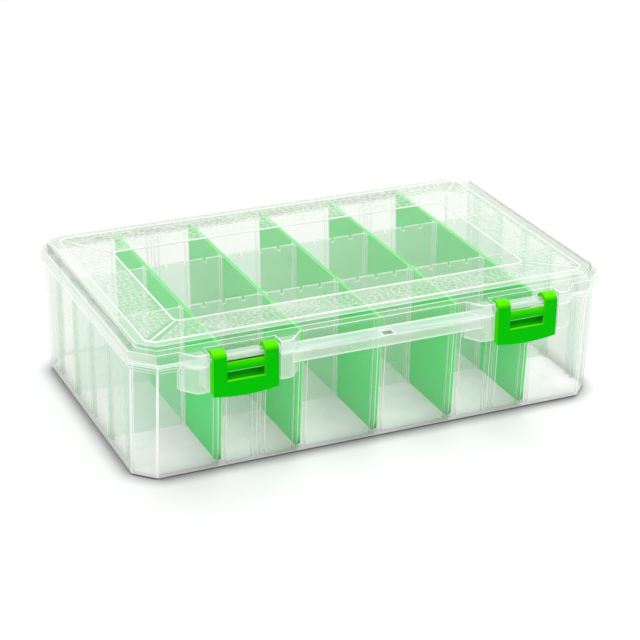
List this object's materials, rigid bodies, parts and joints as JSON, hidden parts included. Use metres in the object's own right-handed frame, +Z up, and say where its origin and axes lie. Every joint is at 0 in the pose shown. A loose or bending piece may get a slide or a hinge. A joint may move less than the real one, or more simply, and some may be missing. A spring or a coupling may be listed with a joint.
{
  "type": "fishing tackle box",
  "caption": "Clear hinged tackle box with a dished lid, snap latches at the front, long coloured dividers and notched cross dividers that make a grid of deep compartments.",
  "frame": {"origin": "on the resting face, under the middle of the lid's outline", "axes": "+X along the box, to the right seen from the latches; -Y towards the latches, +Y towards the hinges; +Z up"},
  "size_m": [0.357, 0.2428, 0.0981],
  "materials": {
    "tray_clear": "translucent moulded polypropylene, satin outside, slightly milky",
    "lid_clear": "translucent moulded polypropylene, glossy, fine scale texture on the sloping panels",
    "cross_divider_clear": "translucent moulded polypropylene, satin",
    "divider_green": "solid green moulded polypropylene, satin",
    "latch_green": "solid bright green moulded plastic, gloss",
    "pin_steel": "plain drawn steel wire"
  },
  "bodies": {
    "tray": {"tray": "tray_clear", "hinge_pin_left": "pin_steel", "hinge_pin_right": "pin_steel", "divider_1": "divider_green", "divider_2": "divider_green", "divider_3": "divider_green", "divider_4": "divider_green", "divider_5": "divider_green", "cross_divider_front_1": "cross_divider_clear", "cross_divider_front_2": "cross_divider_clear", "cross_divider_front_3": "cross_divider_clear", "cross_divider_front_4": "cross_divider_clear", "cross_divider_front_5": "cross_divider_clear", "cross_divider_front_6": "cross_divider_clear", "cross_divider_rear_1": "cross_divider_clear", "cross_divider_rear_2": "cross_divider_clear", "cross_divider_rear_3": "cross_divider_clear", "cross_divider_rear_4": "cross_divider_clear", "cross_divider_rear_5": "cross_divider_clear", "cross_divider_rear_6": "cross_divider_clear"},
    "lid": {"lid": "lid_clear"},
    "latch_left": {"latch_left": "latch_green"},
    "latch_right": {"latch_right": "latch_green"}
  },
  "joints": [
    {"name": "lid_hinge", "type": "hinge", "parent": "tray", "child": "lid", "pos_m": [0, 0.1162, 0.0875], "axis": [-1, 0, 0], "range_deg": [0, 180]},
    {"name": "latch_left_hinge", "type": "hinge", "parent": "lid", "child": "latch_left", "pos_m": [-0.105, -0.1175, 0.089], "axis": [-1, 0, 0], "range_deg": [0, 120]},
    {"name": "latch_right_hinge", "type": "hinge", "parent": "lid", "child": "latch_right", "pos_m": [0.105, -0.1175, 0.089], "axis": [-1, 0, 0], "range_deg": [0, 120]}
  ]
}
